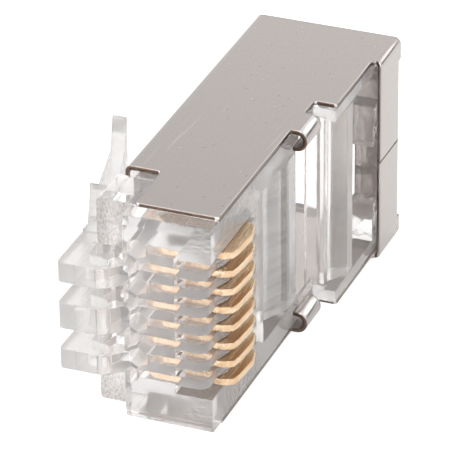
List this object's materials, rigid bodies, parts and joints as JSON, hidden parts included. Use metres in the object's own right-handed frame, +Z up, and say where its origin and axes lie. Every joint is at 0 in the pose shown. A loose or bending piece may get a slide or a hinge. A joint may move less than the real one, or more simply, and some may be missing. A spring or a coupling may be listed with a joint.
{
  "type": "rj45 modular plug",
  "caption": "Shielded modular plug for round network cable: clear housing, sprung latch, gold blade contacts and crimp bars.",
  "frame": {"origin": "middle of the shield's side wall that the plug lies on", "axes": "+Y from the nose to the cable end, +X from the latch side to the contact side, +Z up across the plug's width"},
  "size_m": [0.014, 0.0235, 0.0117],
  "materials": {
    "clear_plastic": "clear moulded, slightly cloudy",
    "nickel_sheet": "nickel plated, fine grain",
    "gold_plate": "gold plated"
  },
  "bodies": {
    "body": {"housing": "clear_plastic", "shield": "nickel_sheet"},
    "latch": {"latch": "clear_plastic"},
    "conductor_bar": {"conductor_clamp": "clear_plastic"},
    "jacket_bar": {"jacket_clamp": "clear_plastic"},
    "contact_1": {"contact_blade_1": "gold_plate"},
    "contact_2": {"contact_blade_2": "gold_plate"},
    "contact_3": {"contact_blade_3": "gold_plate"},
    "contact_4": {"contact_blade_4": "gold_plate"},
    "contact_5": {"contact_blade_5": "gold_plate"},
    "contact_6": {"contact_blade_6": "gold_plate"},
    "contact_7": {"contact_blade_7": "gold_plate"},
    "contact_8": {"contact_blade_8": "gold_plate"}
  },
  "joints": [
    {"name": "latch_press", "type": "hinge", "parent": "body", "child": "latch", "pos_m": [-0.00363, -0.0116, 0.00584], "axis": [0, 0, -1], "range_deg": [0, 8.5], "stiffness_Nm_per_rad": 0.2},
    {"name": "conductor_crimp", "type": "hinge", "parent": "body", "child": "conductor_bar", "pos_m": [0.00047, -0.004, 0.00584], "axis": [0, 0, 1], "range_deg": [0, 18]},
    {"name": "jacket_crimp", "type": "hinge", "parent": "body", "child": "jacket_bar", "pos_m": [0.00263, 0.0036, 0.00584], "axis": [0, 0, 1], "range_deg": [0, 25]},
    {"name": "contact_1_crimp", "type": "slide", "parent": "body", "child": "contact_1", "axis": [-1, 0, 0], "range_m": [0, 0.00095]},
    {"name": "contact_2_crimp", "type": "slide", "parent": "body", "child": "contact_2", "axis": [-1, 0, 0], "range_m": [0, 0.00095]},
    {"name": "contact_3_crimp", "type": "slide", "parent": "body", "child": "contact_3", "axis": [-1, 0, 0], "range_m": [0, 0.00095]},
    {"name": "contact_4_crimp", "type": "slide", "parent": "body", "child": "contact_4", "axis": [-1, 0, 0], "range_m": [0, 0.00095]},
    {"name": "contact_5_crimp", "type": "slide", "parent": "body", "child": "contact_5", "axis": [-1, 0, 0], "range_m": [0, 0.00095]},
    {"name": "contact_6_crimp", "type": "slide", "parent": "body", "child": "contact_6", "axis": [-1, 0, 0], "range_m": [0, 0.00095]},
    {"name": "contact_7_crimp", "type": "slide", "parent": "body", "child": "contact_7", "axis": [-1, 0, 0], "range_m": [0, 0.00095]},
    {"name": "contact_8_crimp", "type": "slide", "parent": "body", "child": "contact_8", "axis": [-1, 0, 0], "range_m": [0, 0.00095]}
  ]
}
